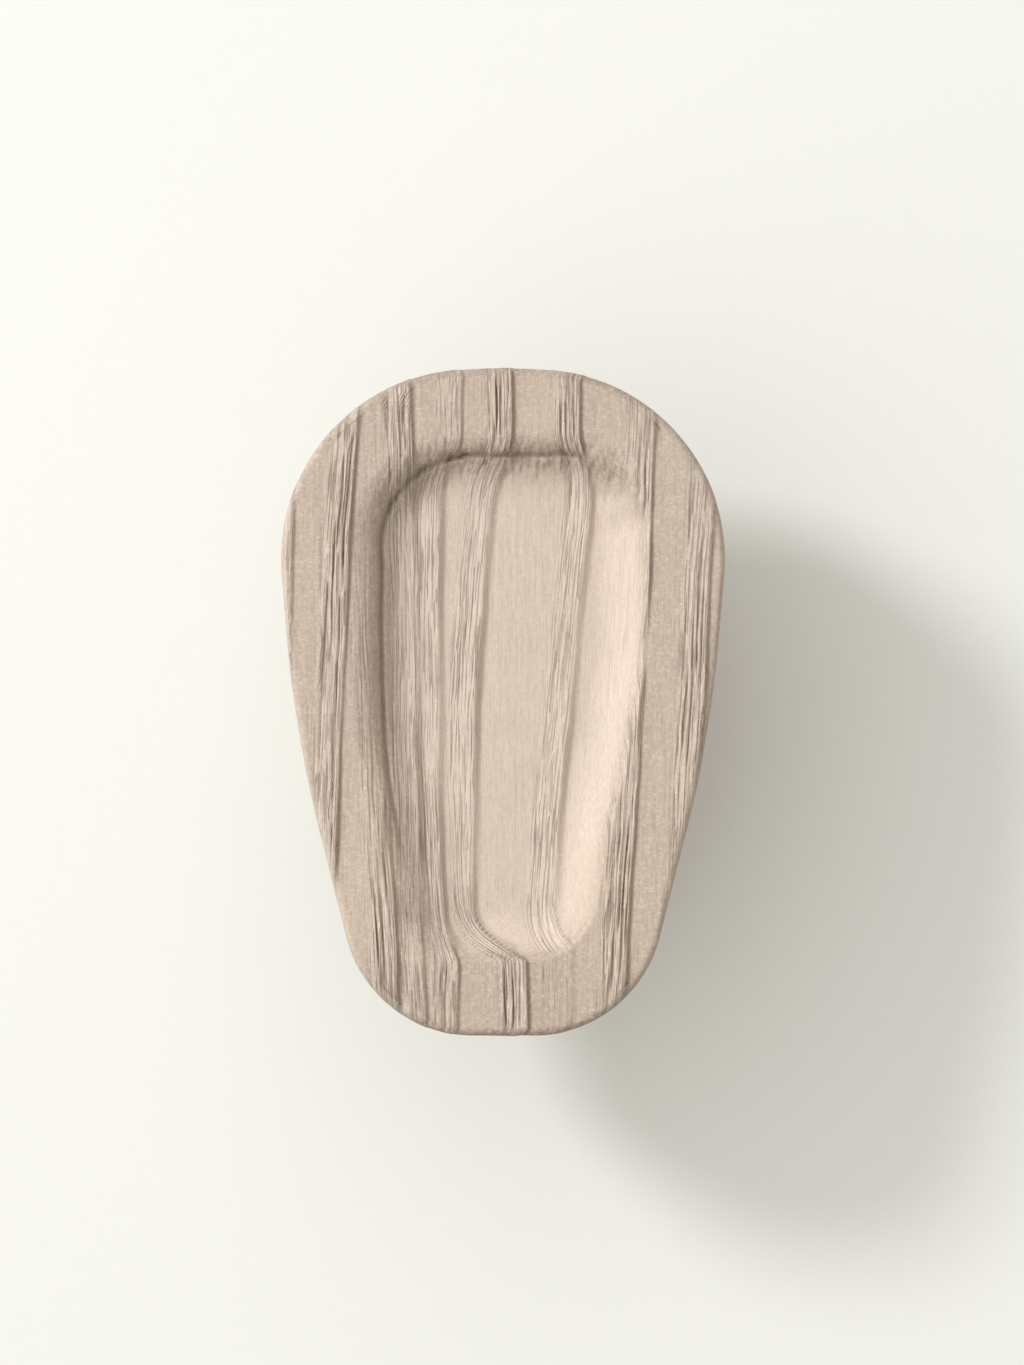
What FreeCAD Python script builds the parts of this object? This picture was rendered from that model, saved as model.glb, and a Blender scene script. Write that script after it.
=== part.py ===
import FreeCAD, Part
import math
import os
import Sketcher
from FreeCAD import Placement, Rotation, Vector

# Cabinet door knob. A flat, dished ash head stands off the door on a turned
# ash neck. A machine screw comes through the door from behind, with a washer
# under its head, and draws the neck's foot against the door's face.
#
# Frame: +Z up the face, the head looks to -Y, and the door lies on the +Y
# side. The origin is on the screw's axis, where it leaves the neck's foot.
# Every size is in millimetres and kept in the sheet.
SIZES = {
    # head, seen from the front: a crown, two shoulders, two flanks, two toes
    "head_height": 50.0,
    "head_thickness": 10.5,
    "head_stand_off": 15.5,
    "crown_rise": 0.07,
    "crown_radius": 42.5,
    "shoulder_out": 17.8,
    "shoulder_drop": 0.9,
    "shoulder_radius": 14.2,
    "flank_out": 15.6,
    "flank_below": 2.3,
    "flank_radius": 89.7,
    "toe_out": 9.9,
    "toe_radius": 9.8,
    "face_edge_radius": 0.65,
    "back_edge_radius": 2.5,
    # dish carved in the face, a little nearer to one side than the other
    "dish_depth": 2.6,
    "dish_top": 18.8,
    "dish_bottom": 19.0,
    "dish_near_side": 9.3,
    "dish_far_side": 10.6,
    "dish_near_bend": 6.0,
    "dish_far_bend": 3.5,
    "dish_far_brow_out": 5.7,
    "dish_far_brow_up": 13.9,
    "dish_near_toe": 4.9,
    "dish_far_toe": 5.9,
    "dish_corner_radius": 5.0,
    "dish_near_corner_radius": 7.0,
    "dish_near_bend_radius": 55.0,
    "dish_far_bend_radius": 22.0,
    "dish_cove_radius": 2.3,
    "dish_lip_radius": 0.25,
    # neck, with its tenon glued into the head
    "tenon_radius": 5.0,
    "tenon_length": 5.0,
    "glue_line": 0.05,
    "socket_spare": 0.3,
    "neck_top_radius": 9.6,
    "neck_cove_radius": 21.0,
    "foot_radius": 9.0,
    "foot_band": 1.2,
    "foot_chamfer": 0.5,
    "insert_hole_radius": 3.4,
    "insert_hole_depth": 10.6,
    "screw_room_radius": 2.3,
    "screw_room_depth": 15.0,
    "drill_point": 1.3,
    # brass insert in the neck
    "insert_length": 10.0,
    "insert_recess": 0.3,
    "insert_root_radius": 3.35,
    "insert_crest_radius": 4.0,
    "insert_thread_pitch": 2.0,
    "insert_thread_height": 0.8,
    "insert_bore_radius": 2.0,
    "insert_slot_width": 1.2,
    "insert_slot_depth": 1.4,
    # fixing: a panel of this thickness lies between the neck and the washer
    "panel_thickness": 18.0,
    "washer_radius": 4.5,
    "washer_hole_radius": 2.15,
    "washer_thickness": 0.8,
    "screw_length": 25.0,
    "screw_radius": 1.95,
    "screw_tip_chamfer": 0.5,
    "screw_head_radius": 4.0,
    "screw_head_height": 3.1,
    "screw_head_edge": 1.7,
    "screw_dome_radius": 6.4,
    "recess_span": 4.4,
    "recess_wing": 1.0,
    "recess_depth": 1.9,
}
INSERT_THREADS = 4
RECESS_WINGS = 4
LEVEL_TOLERANCE = 1e-5


class Size:
    """A length in mm that also knows the sheet expression it comes from."""

    def __init__(self, value, text):
        self.value = value
        self.text = text

    def __add__(self, other):
        return Size(self.value + other.value, f"({self.text} + {other.text})")

    def __sub__(self, other):
        return Size(self.value - other.value, f"({self.text} - {other.text})")

    def __mul__(self, number):
        return Size(self.value * number, f"({self.text} * {number})")

    def __neg__(self):
        return Size(-self.value, f"(-{self.text})")


doc = FreeCAD.newDocument("cabinet_knob")
sheet = doc.addObject("Spreadsheet::Sheet", "Sizes")
size = {}
for row, (alias, value) in enumerate(SIZES.items(), start=1):
    sheet.set(f"A{row}", alias)
    sheet.set(f"B{row}", str(value))
    sheet.setAlias(f"B{row}", alias)
    size[alias] = Size(value, f"Sizes.{alias}")
doc.recompute()

ZERO = Size(0.0, "0")


def new_body(label):
    body = doc.addObject("PartDesign::Body", label)
    body.Label = label
    return body


def new_sketch(body, name, plane, along_normal=ZERO):
    """A sketch on one of the body's own origin planes, moved along its normal."""
    sketch = body.newObject("Sketcher::SketchObject", name)
    base = [f for f in body.Origin.OriginFeatures if f.Role == plane][0]
    sketch.AttachmentSupport = [(base, "")]
    sketch.MapMode = "FlatFace"
    sketch.AttachmentOffset = Placement(Vector(0, 0, along_normal.value), Rotation())
    sketch.setExpression(".AttachmentOffset.Base.z", along_normal.text)
    return sketch


def hold_coordinate(sketch, axis, geometry, end, length):
    """Fix one coordinate of a point from the sketch's origin, on either side of it."""
    kind = "DistanceX" if axis == 0 else "DistanceY"
    if abs(length.value) < LEVEL_TOLERANCE:
        guide = -2 if axis == 0 else -1
        sketch.addConstraint(Sketcher.Constraint("PointOnObject", geometry, end, guide))
        return
    if length.value > 0:
        ends = (-1, 1, geometry, end)
    else:
        ends = (geometry, end, -1, 1)
        length = -length
    index = sketch.addConstraint(Sketcher.Constraint(kind, *ends, length.value))
    sketch.setExpression(f"Constraints[{index}]", length.text)


def hold_point(sketch, geometry, end, x, y):
    hold_coordinate(sketch, 0, geometry, end, x)
    hold_coordinate(sketch, 1, geometry, end, y)


def arc_between(start, end, radius, left_hand):
    """A short circular arc from start to end, counter-clockwise when left_hand."""
    chord = end - start
    half = chord.Length / 2
    side = Vector(-chord.y, chord.x, 0).normalize()
    reach = (radius**2 - half**2) ** 0.5
    centre = (start + end) * 0.5 + side * (reach if left_hand else -reach)
    middle = centre - side * (radius if left_hand else -radius)
    return Part.Arc(start, middle, end)


def rounded_outline(sketch, corners):
    """A closed outline of straight runs, each corner (x, y, radius) replaced by an arc.

    The corners go counter-clockwise and every one turns left."""
    points = [Vector(x.value, y.value, 0) for x, y, radius in corners]
    starts = []
    ends = []
    for i, (x, y, radius) in enumerate(corners):
        back = (points[i - 1] - points[i]).normalize()
        ahead = (points[(i + 1) % len(points)] - points[i]).normalize()
        half_angle = back.getAngle(ahead) / 2
        reach = radius.value / math.tan(half_angle)
        starts.append(points[i] + back * reach)
        ends.append(points[i] + ahead * reach)
    lines = []
    arcs = []
    marks = []
    for i in range(len(corners)):
        after = (i + 1) % len(corners)
        arc = arc_between(starts[i], ends[i], corners[i][2].value, True)
        arcs.append(sketch.addGeometry(arc, False))
        line = Part.LineSegment(ends[i], starts[after])
        lines.append(sketch.addGeometry(line, False))
        marks.append(sketch.addGeometry(Part.Point(points[i]), True))
    for i, (x, y, radius) in enumerate(corners):
        before = lines[i - 1]
        sketch.addConstraint(Sketcher.Constraint("Tangent", before, 2, arcs[i], 1))
        sketch.addConstraint(Sketcher.Constraint("Tangent", arcs[i], 2, lines[i], 1))
        index = sketch.addConstraint(Sketcher.Constraint("Radius", arcs[i], radius.value))
        sketch.setExpression(f"Constraints[{index}]", radius.text)
        sketch.addConstraint(Sketcher.Constraint("PointOnObject", marks[i], 1, before))
        sketch.addConstraint(Sketcher.Constraint("PointOnObject", marks[i], 1, lines[i]))
        hold_point(sketch, marks[i], 1, x, y)


def profile(sketch, points, arcs=None):
    """A closed outline through held points; arcs gives (radius, left_hand) for a run."""
    arcs = arcs or {}
    runs = []
    for i, (x, y) in enumerate(points):
        after = points[(i + 1) % len(points)]
        start = Vector(x.value, y.value, 0)
        end = Vector(after[0].value, after[1].value, 0)
        if i in arcs:
            radius, left_hand = arcs[i]
            run = arc_between(start, end, radius.value, left_hand)
        else:
            run = Part.LineSegment(start, end)
        runs.append(sketch.addGeometry(run, False))
    # an arc of a circle always runs counter-clockwise, so a right-hand one is turned round
    first = [2 if i in arcs and not arcs[i][1] else 1 for i in range(len(points))]
    for i in range(len(points)):
        after = (i + 1) % len(points)
        joint = (runs[i], 3 - first[i], runs[after], first[after])
        sketch.addConstraint(Sketcher.Constraint("Coincident", *joint))
    for i, (x, y) in enumerate(points):
        hold_point(sketch, runs[i], first[i], x, y)
    for i, (radius, left_hand) in arcs.items():
        index = sketch.addConstraint(Sketcher.Constraint("Radius", runs[i], radius.value))
        sketch.setExpression(f"Constraints[{index}]", radius.text)


def pad(body, sketch, name, length):
    feature = body.newObject("PartDesign::Pad", name)
    feature.Profile = sketch
    feature.Length = length.value
    feature.setExpression("Length", length.text)
    doc.recompute()
    return feature


def pocket(body, sketch, name, depth, towards_normal):
    """A blind pocket, which has to take something away from the body."""
    before = body.Shape.Volume
    feature = body.newObject("PartDesign::Pocket", name)
    feature.Profile = sketch
    feature.Length = depth.value
    feature.setExpression("Length", depth.text)
    feature.Reversed = towards_normal
    doc.recompute()
    if not feature.Shape.Volume < before - LEVEL_TOLERANCE:
        raise RuntimeError(f"{name} cuts nothing")
    return feature


def revolve(body, sketch, name):
    feature = body.newObject("PartDesign::Revolution", name)
    feature.Profile = sketch
    feature.ReferenceAxis = (sketch, ["V_Axis"])
    feature.Angle = 360.0
    doc.recompute()
    return feature


def flat_edges(shape, level, outer):
    """Names of the edges round the largest flat face at y = level, outside or inside."""
    faces = [
        face
        for face in shape.Faces
        if face.BoundBox.YLength < LEVEL_TOLERANCE
        and abs(face.BoundBox.YMin - level) < LEVEL_TOLERANCE
    ]
    face = max(faces, key=lambda f: f.BoundBox.DiagonalLength)
    inner = [w for w in face.Wires if not w.isSame(face.OuterWire)]
    chosen = [face.OuterWire] if outer else inner
    wanted = [edge for wire in chosen for edge in wire.Edges]
    return [
        f"Edge{i}"
        for i, edge in enumerate(shape.Edges, start=1)
        if any(edge.isSame(other) for other in wanted)
    ]


def round_edges(body, base, name, edges, radius):
    feature = body.newObject("PartDesign::Fillet", name)
    feature.Base = (base, edges)
    feature.Radius = radius.value
    feature.setExpression("Radius", radius.text)
    doc.recompute()
    return feature


def build_head():
    """The carved ash head: tapered outline, dished face, blind socket behind."""
    back = size["head_stand_off"]
    face = back + size["head_thickness"]
    half = size["head_height"] * 0.5
    body = new_body("head")

    outline = new_sketch(body, "head_outline", "XZ_Plane", back)
    shoulder_z = half - size["shoulder_drop"]
    shoulder = size["shoulder_out"]
    flank = size["flank_out"]
    toe = size["toe_out"]
    flank_z = -size["flank_below"]
    rounded_outline(
        outline,
        [
            (ZERO, half + size["crown_rise"], size["crown_radius"]),
            (-shoulder, shoulder_z, size["shoulder_radius"]),
            (-flank, flank_z, size["flank_radius"]),
            (-toe, -half, size["toe_radius"]),
            (toe, -half, size["toe_radius"]),
            (flank, flank_z, size["flank_radius"]),
            (shoulder, shoulder_z, size["shoulder_radius"]),
        ],
    )
    slab = pad(body, outline, "head_slab", size["head_thickness"])

    dish = new_sketch(body, "dish_outline", "XZ_Plane", face)
    corner = size["dish_corner_radius"]
    near = -size["dish_near_side"]
    far = size["dish_far_side"]
    top = size["dish_top"]
    bottom = -size["dish_bottom"]
    rounded_outline(
        dish,
        [
            (size["dish_far_brow_out"], top, corner),
            (near, top, size["dish_near_corner_radius"]),
            (near, -size["dish_near_bend"], size["dish_near_bend_radius"]),
            (-size["dish_near_toe"], bottom, corner),
            (size["dish_far_toe"], bottom, corner),
            (far, size["dish_far_bend"], size["dish_far_bend_radius"]),
            (far, size["dish_far_brow_up"], corner),
        ],
    )
    pocket(body, dish, "dish", size["dish_depth"], False)

    mouth = new_sketch(body, "socket_mouth", "XZ_Plane", back)
    radius = size["tenon_radius"] + size["glue_line"]
    circle = Part.Circle(Vector(0, 0, 0), Vector(0, 0, 1), radius.value)
    mouth.addGeometry(circle, False)
    mouth.addConstraint(Sketcher.Constraint("Coincident", 0, 3, -1, 1))
    mouth.addConstraint(Sketcher.Constraint("Radius", 0, radius.value))
    mouth.setExpression("Constraints[1]", radius.text)
    depth = size["tenon_length"] + size["socket_spare"]
    socket = pocket(body, mouth, "socket", depth, True)

    floor_level = -(face - size["dish_depth"]).value
    floor = flat_edges(socket.Shape, floor_level, True)
    cove = round_edges(body, socket, "dish_cove", floor, size["dish_cove_radius"])
    lip = flat_edges(cove.Shape, -face.value, False)
    lipped = round_edges(body, cove, "dish_lip", lip, size["dish_lip_radius"])
    front = flat_edges(lipped.Shape, -face.value, True)
    eased = round_edges(body, lipped, "face_edge", front, size["face_edge_radius"])
    rear = flat_edges(eased.Shape, -back.value, True)
    round_edges(body, eased, "back_edge", rear, size["back_edge_radius"])
    if not body.Shape.Volume < slab.Shape.Volume:
        raise RuntimeError("the head's dish and socket took nothing away")
    return body


def build_neck():
    """The turned ash neck: tenon, coved flank, foot, and a stepped hole from behind."""
    body = new_body("neck")
    sketch = new_sketch(body, "neck_profile", "XY_Plane")
    shoulder = -size["head_stand_off"]
    tenon_end = shoulder - size["tenon_length"]
    foot = size["foot_radius"]
    insert_floor = -size["insert_hole_depth"]
    room_floor = -size["screw_room_depth"]
    points = [
        (ZERO, tenon_end),
        (size["tenon_radius"], tenon_end),
        (size["tenon_radius"], shoulder),
        (size["neck_top_radius"], shoulder),
        (foot, -size["foot_band"]),
        (foot, -size["foot_chamfer"]),
        (foot - size["foot_chamfer"], ZERO),
        (size["insert_hole_radius"], ZERO),
        (size["insert_hole_radius"], insert_floor),
        (size["screw_room_radius"], insert_floor),
        (size["screw_room_radius"], room_floor),
        (ZERO, room_floor - size["drill_point"]),
    ]
    profile(sketch, points, {3: (size["neck_cove_radius"], False)})
    revolve(body, sketch, "neck_turning")
    return body


def build_insert():
    """The brass insert: rings stand for its wood thread, with a driver slot behind."""
    body = new_body("threaded_insert")
    sketch = new_sketch(body, "insert_profile", "XY_Plane")
    rear = -size["insert_recess"]
    front = rear - size["insert_length"]
    root = size["insert_root_radius"]
    crest = size["insert_crest_radius"]
    rise = size["insert_thread_height"]
    points = [(size["insert_bore_radius"], rear), (size["insert_bore_radius"], front)]
    points.append((root, front))
    for turn in range(INSERT_THREADS):
        start = front + rise + size["insert_thread_pitch"] * turn
        points.append((root, start))
        points.append((crest, start + rise * 0.5))
        points.append((root, start + rise))
    points.append((root, rear))
    profile(sketch, points)
    revolve(body, sketch, "insert_turning")

    slot = new_sketch(body, "slot_outline", "XZ_Plane", size["insert_recess"])
    across = crest + rise
    half = size["insert_slot_width"] * 0.5
    rectangle(slot, across, half)
    pocket(body, slot, "driver_slot", size["insert_slot_depth"], True)
    return body


def rectangle(sketch, half_width, half_height):
    profile(
        sketch,
        [
            (-half_width, -half_height),
            (half_width, -half_height),
            (half_width, half_height),
            (-half_width, half_height),
        ],
    )


def build_screw():
    """The pan-head machine screw, with a smooth shank at its thread's outer size."""
    body = new_body("machine_screw")
    sketch = new_sketch(body, "screw_profile", "XY_Plane")
    seat = size["panel_thickness"] + size["washer_thickness"]
    tip = seat - size["screw_length"]
    top = seat + size["screw_head_height"]
    shank = size["screw_radius"]
    head = size["screw_head_radius"]
    points = [
        (ZERO, tip),
        (shank - size["screw_tip_chamfer"], tip),
        (shank, tip + size["screw_tip_chamfer"]),
        (shank, seat),
        (head, seat),
        (head, seat + size["screw_head_edge"]),
        (ZERO, top),
    ]
    profile(sketch, points, {5: (size["screw_dome_radius"], True)})
    revolve(body, sketch, "screw_turning")

    cross = new_sketch(body, "recess_outline", "XZ_Plane", -top)
    reach = size["recess_span"] * 0.5
    wing = size["recess_wing"] * 0.5
    quarter = [(reach, -wing), (reach, wing), (wing, wing)]
    corners = []
    for turn in range(RECESS_WINGS):
        corners += quarter
        quarter = [(-y, x) for x, y in quarter]
    profile(cross, corners)
    pocket(body, cross, "cross_recess", size["recess_depth"], True)
    return body


def cylinder(name, radius, length):
    solid = doc.addObject("Part::Cylinder", name)
    solid.setExpression("Radius", radius.text)
    solid.setExpression("Height", length.text)
    return solid


def build_washer():
    """The flat washer between the panel and the screw's head."""
    washer = doc.addObject("Part::Cut", "washer")
    washer.Label = "washer"
    washer.Base = cylinder("washer_disc", size["washer_radius"], size["washer_thickness"])
    washer.Tool = cylinder(
        "washer_hole", size["washer_hole_radius"], size["washer_thickness"]
    )
    panel = size["panel_thickness"]
    along_y = Rotation(Vector(1, 0, 0), -90)
    washer.Placement = Placement(Vector(0, panel.value, 0), along_y)
    washer.setExpression(".Placement.Base.y", panel.text)
    return washer


subparts = [build_head(), build_neck(), build_insert(), build_screw(), build_washer()]
doc.recompute()
for item in doc.Objects:
    if "Invalid" in item.State or "Error" in item.State:
        raise RuntimeError(f"{item.Label} failed: {item.State}")
for subpart in subparts:
    shape = subpart.Shape
    if shape.isNull() or not shape.isValid() or len(shape.Solids) != 1:
        raise RuntimeError(f"{subpart.Label} is not one valid solid")

os.makedirs("parts", exist_ok=True)
for subpart in subparts:
    subpart.Shape.exportStep(f"parts/{subpart.Label}.step")
    box = subpart.Shape.BoundBox
    print(
        f"{subpart.Label}: {subpart.Shape.Volume:.1f} mm3,",
        f"x {box.XMin:.2f} {box.XMax:.2f}, y {box.YMin:.2f} {box.YMax:.2f},",
        f"z {box.ZMin:.2f} {box.ZMax:.2f}",
    )
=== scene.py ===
"""Looks of the cabinet door knob: a dished ash head, its turned neck, and the screw, washer and insert.

Shapes are worked out in millimetres, in the row frame (X right, Z up, the head looks to -Y, the door's
face is the plane y = 0), and become metres when a mesh is made. Places and outer sizes are the CAD
model's. Where no reason is given, the numbers of grain, carving and colours were found by trial."""
import math

import bpy
import numpy as np
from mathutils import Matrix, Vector


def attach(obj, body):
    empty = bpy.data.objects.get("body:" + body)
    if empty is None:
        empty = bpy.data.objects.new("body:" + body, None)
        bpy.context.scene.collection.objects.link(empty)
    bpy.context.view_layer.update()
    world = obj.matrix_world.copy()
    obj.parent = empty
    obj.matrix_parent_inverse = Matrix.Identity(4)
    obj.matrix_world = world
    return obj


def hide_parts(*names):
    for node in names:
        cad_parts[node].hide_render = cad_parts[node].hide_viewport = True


MM = 0.001
TURN = 2.0 * math.pi

# levels along Y
FACE_Y = -26.0
HEAD_BACK_Y = -15.5
FOOT_Y = 0.0
WALL_Y = 0.1
WASHER_Y = 18.0
WASHER_THICK = 0.8

# backdrop: a disc with a hole
WALL_HOLE = 8.4
WALL_REACH = 1500.0
WALL_POINTS = 96

# the key lamp's distance in metres; the camera's, its place and what it takes in, in millimetres
LAMP_AWAY = 0.9
CAMERA_AWAY = 650.0
CAMERA_SEES = 102.1
CAMERA_X = 0.67
CAMERA_Z = 1.46
SENSOR = 36.0

# head outline: corners (x, z, radius of the arc that rounds it), counter-clockwise
HEAD_CORNERS = [
    (0.0, 25.07, 42.5),
    (-17.8, 24.1, 14.2),
    (-15.6, -2.3, 89.7),
    (-9.9, -25.0, 9.8),
    (9.9, -25.0, 9.8),
    (15.6, -2.3, 89.7),
    (17.8, 24.1, 14.2),
]
FACE_EDGE = 0.65
BACK_EDGE = 2.5
SOCKET_RADIUS = 5.05
SOCKET_DEPTH = 5.3

# head mesh: the face's grid, where its rows are denser and by how much, the belts round its sides, and
# the rings on its back and in the socket
HEAD_COLUMNS = 520
HEAD_ROWS = 120
DENSE_ROWS = ((0.875, 2.2), (0.12, 2.4))
DENSE_SPAN = 0.045
EDGE_TURNS = np.radians(np.linspace(18, 90, 5))
SIDE_BELTS = 9
COARSE = 4
BACK_RINGS = 24
BACK_INSET = 0.4
SOCKET_RINGS = 3

# how much of the face's relief shows on the sides and back, and how dark the end grain is there, dark
# enough to paint shade under the head's bottom edge
SIDE_RELIEF = 0.22
BACK_RELIEF = 0.3
END_GRAIN_AND_EDGE_SHADE = 1.85

# dish: the line where its wall is steepest, how wide the wall rolls over outside that line, and how wide
# it coves inside; near is the left wall, low its lower part, brow the upper right corner
DISH_CORNERS = [
    (5.7, 18.55, 4.0),
    (-9.15, 18.55, 7.0),
    (-9.15, -6.0, 55.0),
    (-4.9, -19.2, 5.0),
    (5.9, -19.2, 5.0),
    (10.7, 3.5, 22.0),
    (10.75, 13.2, 4.0),
    (9.2, 16.5, 4.0),
]
DISH_DEPTH = 2.6
ROLL_LEAST = 0.3
ROLL_NEAR = 2.1
ROLL_LESS_LOW = 1.0
ROLL_MORE_LOWEST = 1.7
ROLL_TOP = 1.3
ROLL_BROW = 0.6
COVE_MOST = 3.9
COVE_LESS_NEAR = 1.6
COVE_MORE_LOW = 2.7
COVE_LESS_TOP = 1.1
FACING_POWER = 1.4
# the low and lowest parts of the left wall: how far below z = 0 each starts, and over how much
LOW_FROM, LOW_OVER = 1.0, 8.0
LOWEST_FROM, LOWEST_OVER = 7.0, 6.0
# the crease along the wall line, and the fibres torn or cut across beside it; both are also darkened
# in colour as painted shade, the cut zone on the left and top walls
CREASE_DEPTH = 0.42
CREASE_WIDTH = 0.19
CREASE_SHARE = 0.85
CREASE_LESS_LOW = 0.45
CREASE_LESS_LOWEST = 0.55
TORN_NEAR = 0.15
TORN_BROW = 0.7
SHADE_AND_CUT_NEAR = 0.8
SHADE_AND_CUT_WIDTH = 1.3
RAGGED_WIDTH = 1.6
FRESH_FROM, FRESH_OVER = 0.2, 1.5

# random textures: height, width and length of a cell in mm, start of the pattern across and along, seed
WALL_WANDER = (0.10, 2.3, 3.1, 40, 40, 11)
FLOOR_WAVES = (0.05, 3.4, 5.0, 9, 9, 12)
WALL_TEARS = (0.15, 0.3, 0.5, 0, 0, 13)
CREASE_BREAKS = (1.0, 0.5, 0.9, 7, 7, 14)
CUT_FIBRES = (0.035, 0.32, 0.55, 3, 3, 15)
CUT_FLUFF = (0.030, 0.17, 0.4, 3, 3, 16)
BRUSHED_LINES = (0.008, 1 / 4.5, 4.2, 0, 0, 22)
BRUSHED_GRIT = (0.003, 1 / 9.0, 1.3, 0, 0, 23)
NECK_GRAIN = (0.025, 1 / 2.4, 4.0, 60, 60, 31)
NECK_PORES = (0.012, 1 / 5, 1.5, 0, 60, 32)
PORE_SEED = 3

# growth rings: each is a raised porous band that ends in a sharp edge on its right. X of that edge on
# the rim at the top and bottom; how far it moves on the dish floor at the top and bottom, and how much
# more at mid height; and how strong the band is at the rim's top and bottom and on the floor
RINGS = [
    (-19.5, -21.0, 0.3, 0.3, 0.0, 0.8, 0.8, 0.8),
    (-15.6, -16.8, 0.3, 0.3, 0.0, 0.9, 0.8, 0.6),
    (-10.95, -13.3, 0.3, 0.5, 0.0, 1.0, 1.0, 0.0),
    (-9.9, -8.0, 0.2, 0.4, 0.0, 0.05, 1.0, 0.0),
    (-7.0, -5.9, -0.1, -0.3, 0.0, 0.9, 0.8, 0.75),
    (-3.1, -3.4, -1.6, -1.9, 0.0, 0.7, 0.9, 0.85),
    (0.5, 1.6, -0.5, -4.0, -0.9, 1.0, 1.0, 0.95),
    (5.6, 5.0, 1.4, -2.0, 0.0, 1.1, 0.2, 0.8),
    (11.4, 9.1, -0.6, -1.6, 0.0, 1.0, 1.0, 0.12),
    (16.2, 13.6, 0.2, -0.5, 0.0, 1.0, 1.0, 0.6),
    (20.2, 18.2, 0.2, -0.5, 0.0, 0.8, 0.8, 0.8),
]
RING_SPAN = 22.0

# a band's section: it rises over RISE up to a step, which is wider in the dish, and dips beyond it; late
# or summer wood lies in the dip. Grooves are pores and splits, and the whole relief is sunk by BURIED
BAND_WIDTH = 1.8
PORE_LANES = 6
STEP_WIDTH = 0.34
STEP_HEIGHT = 0.21
RISE = 2.4
RISE_POWER = 1.8
TROUGH = 0.35
TROUGH_WIDTH = 0.9
SUMMER_WIDTH = 1.5
STEP_WIDER_FLOOR = 0.9
STEP_WIDER_WALL = 2.2
STEP_LESS_WALL = 0.45
# where the painted shade on each band's step lies, and how wide it is
STEP_SHADE_PLACE = 0.5
STEP_SHADE_REACH = 0.55
BURIED = 0.10
DEEPEST = 0.45
OPEN_DEPTH = 0.22
GROOVE_REACH = 0.6
GROOVE_TAPER = 1.2
SPLIT_SHARE = 0.62

# added to the lane layer for each ring, so that the pore texture differs from band to band
LANE_GAP = 10.0

# the deepest splits: ring, X from its edge, bottom and top, half width, depth, phase of its wander
SPLITS = [
    (2, -0.25, 9.5, 20.5, 0.075, 0.44, 0.3),
    (2, -0.75, 11.0, 19.0, 0.065, 0.32, 1.1),
    (2, -0.35, -8.0, 8.5, 0.065, 0.36, 2.0),
    (2, -0.95, 2.0, 14.0, 0.060, 0.28, 0.7),
    (2, -1.40, -5.0, 9.0, 0.060, 0.28, 4.0),
    (3, -0.45, -15.5, -10.5, 0.080, 0.29, 0.9),
    (3, -0.90, -21.5, -13.5, 0.075, 0.26, 2.2),
    (3, -1.30, -20.5, -12.5, 0.065, 0.20, 3.1),
    (3, -0.20, -19.0, -9.0, 0.060, 0.17, 5.0),
    (4, -0.30, -23.8, -19.3, 0.075, 0.26, 1.4),
    (4, -0.35, 18.2, 23.6, 0.070, 0.24, 2.6),
    (4, -0.80, 17.5, 23.0, 0.065, 0.20, 0.1),
    (4, -0.10, -17.0, -8.5, 0.060, 0.14, 4.4),
    (5, -0.12, 19.6, 24.3, 0.070, 0.23, 1.9),
    (5, -0.55, 19.6, 24.0, 0.060, 0.14, 3.7),
    (5, -1.15, -23.9, -19.6, 0.070, 0.22, 0.6),
    (6, -0.75, 19.3, 24.5, 0.070, 0.24, 2.9),
    (6, -1.10, 19.2, 24.6, 0.065, 0.22, 5.3),
    (6, -1.60, 19.6, 24.2, 0.060, 0.14, 1.2),
    (6, -1.50, -24.9, -19.4, 0.070, 0.24, 0.4),
    (6, -0.95, -24.9, -19.9, 0.070, 0.24, 3.3),
    (6, -0.45, -24.5, -20.0, 0.060, 0.14, 2.4),
    (7, -1.30, 19.4, 24.3, 0.065, 0.17, 4.8),
    (7, -0.90, 19.5, 24.5, 0.060, 0.14, 0.2),
    (8, -0.45, 13.5, 22.6, 0.075, 0.29, 1.7),
    (8, -0.90, 14.0, 21.5, 0.070, 0.24, 3.9),
    (8, -0.65, -17.6, -12.6, 0.080, 0.30, 2.1),
    (8, -1.00, -22.3, -17.3, 0.075, 0.26, 0.8),
    (8, -0.35, -21.0, -9.0, 0.065, 0.19, 4.6),
    (8, -1.35, -16.0, -6.5, 0.060, 0.16, 5.6),
    (9, -0.60, 2.0, 13.8, 0.075, 0.29, 3.5),
    (9, -0.90, -5.0, 5.0, 0.065, 0.22, 1.5),
    (9, -0.25, -4.0, 9.0, 0.065, 0.20, 2.7),
]


# ---------------------------------------------------------------- numbers
def smooth(t):
    """0 below 0, 1 above 1, and an S between."""
    t = np.clip(t, 0.0, 1.0)
    return t * t * (3.0 - 2.0 * t)


def past(value, start, over):
    """0 up to start, 1 from start + over on, and an S between."""
    return smooth((value - start) / over)


def clamp(value):
    """The value kept between 0 and 1."""
    return np.clip(value, 0, 1)


def cloud(a, b, seed):
    """Smooth random values from -1 to 1 over a plane whose cells are one unit wide."""
    cells = 256
    table = np.random.default_rng(seed).uniform(-1.0, 1.0, (cells, cells))
    row = np.floor(a).astype(int)
    column = np.floor(b).astype(int)
    down = smooth(a - row)
    beside = smooth(b - column)

    def corner(i, j):
        return table[(row + i) % cells, (column + j) % cells]

    near = corner(0, 0) * (1 - beside) + corner(0, 1) * beside
    far = corner(1, 0) * (1 - beside) + corner(1, 1) * beside
    return near * (1 - down) + far * down


def texture(kind, x, z):
    """Height of one of the random textures at each point."""
    height, wide, tall, first_x, first_z, seed = kind
    return height * cloud(x / wide + first_x, z / tall + first_z, seed)


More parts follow.
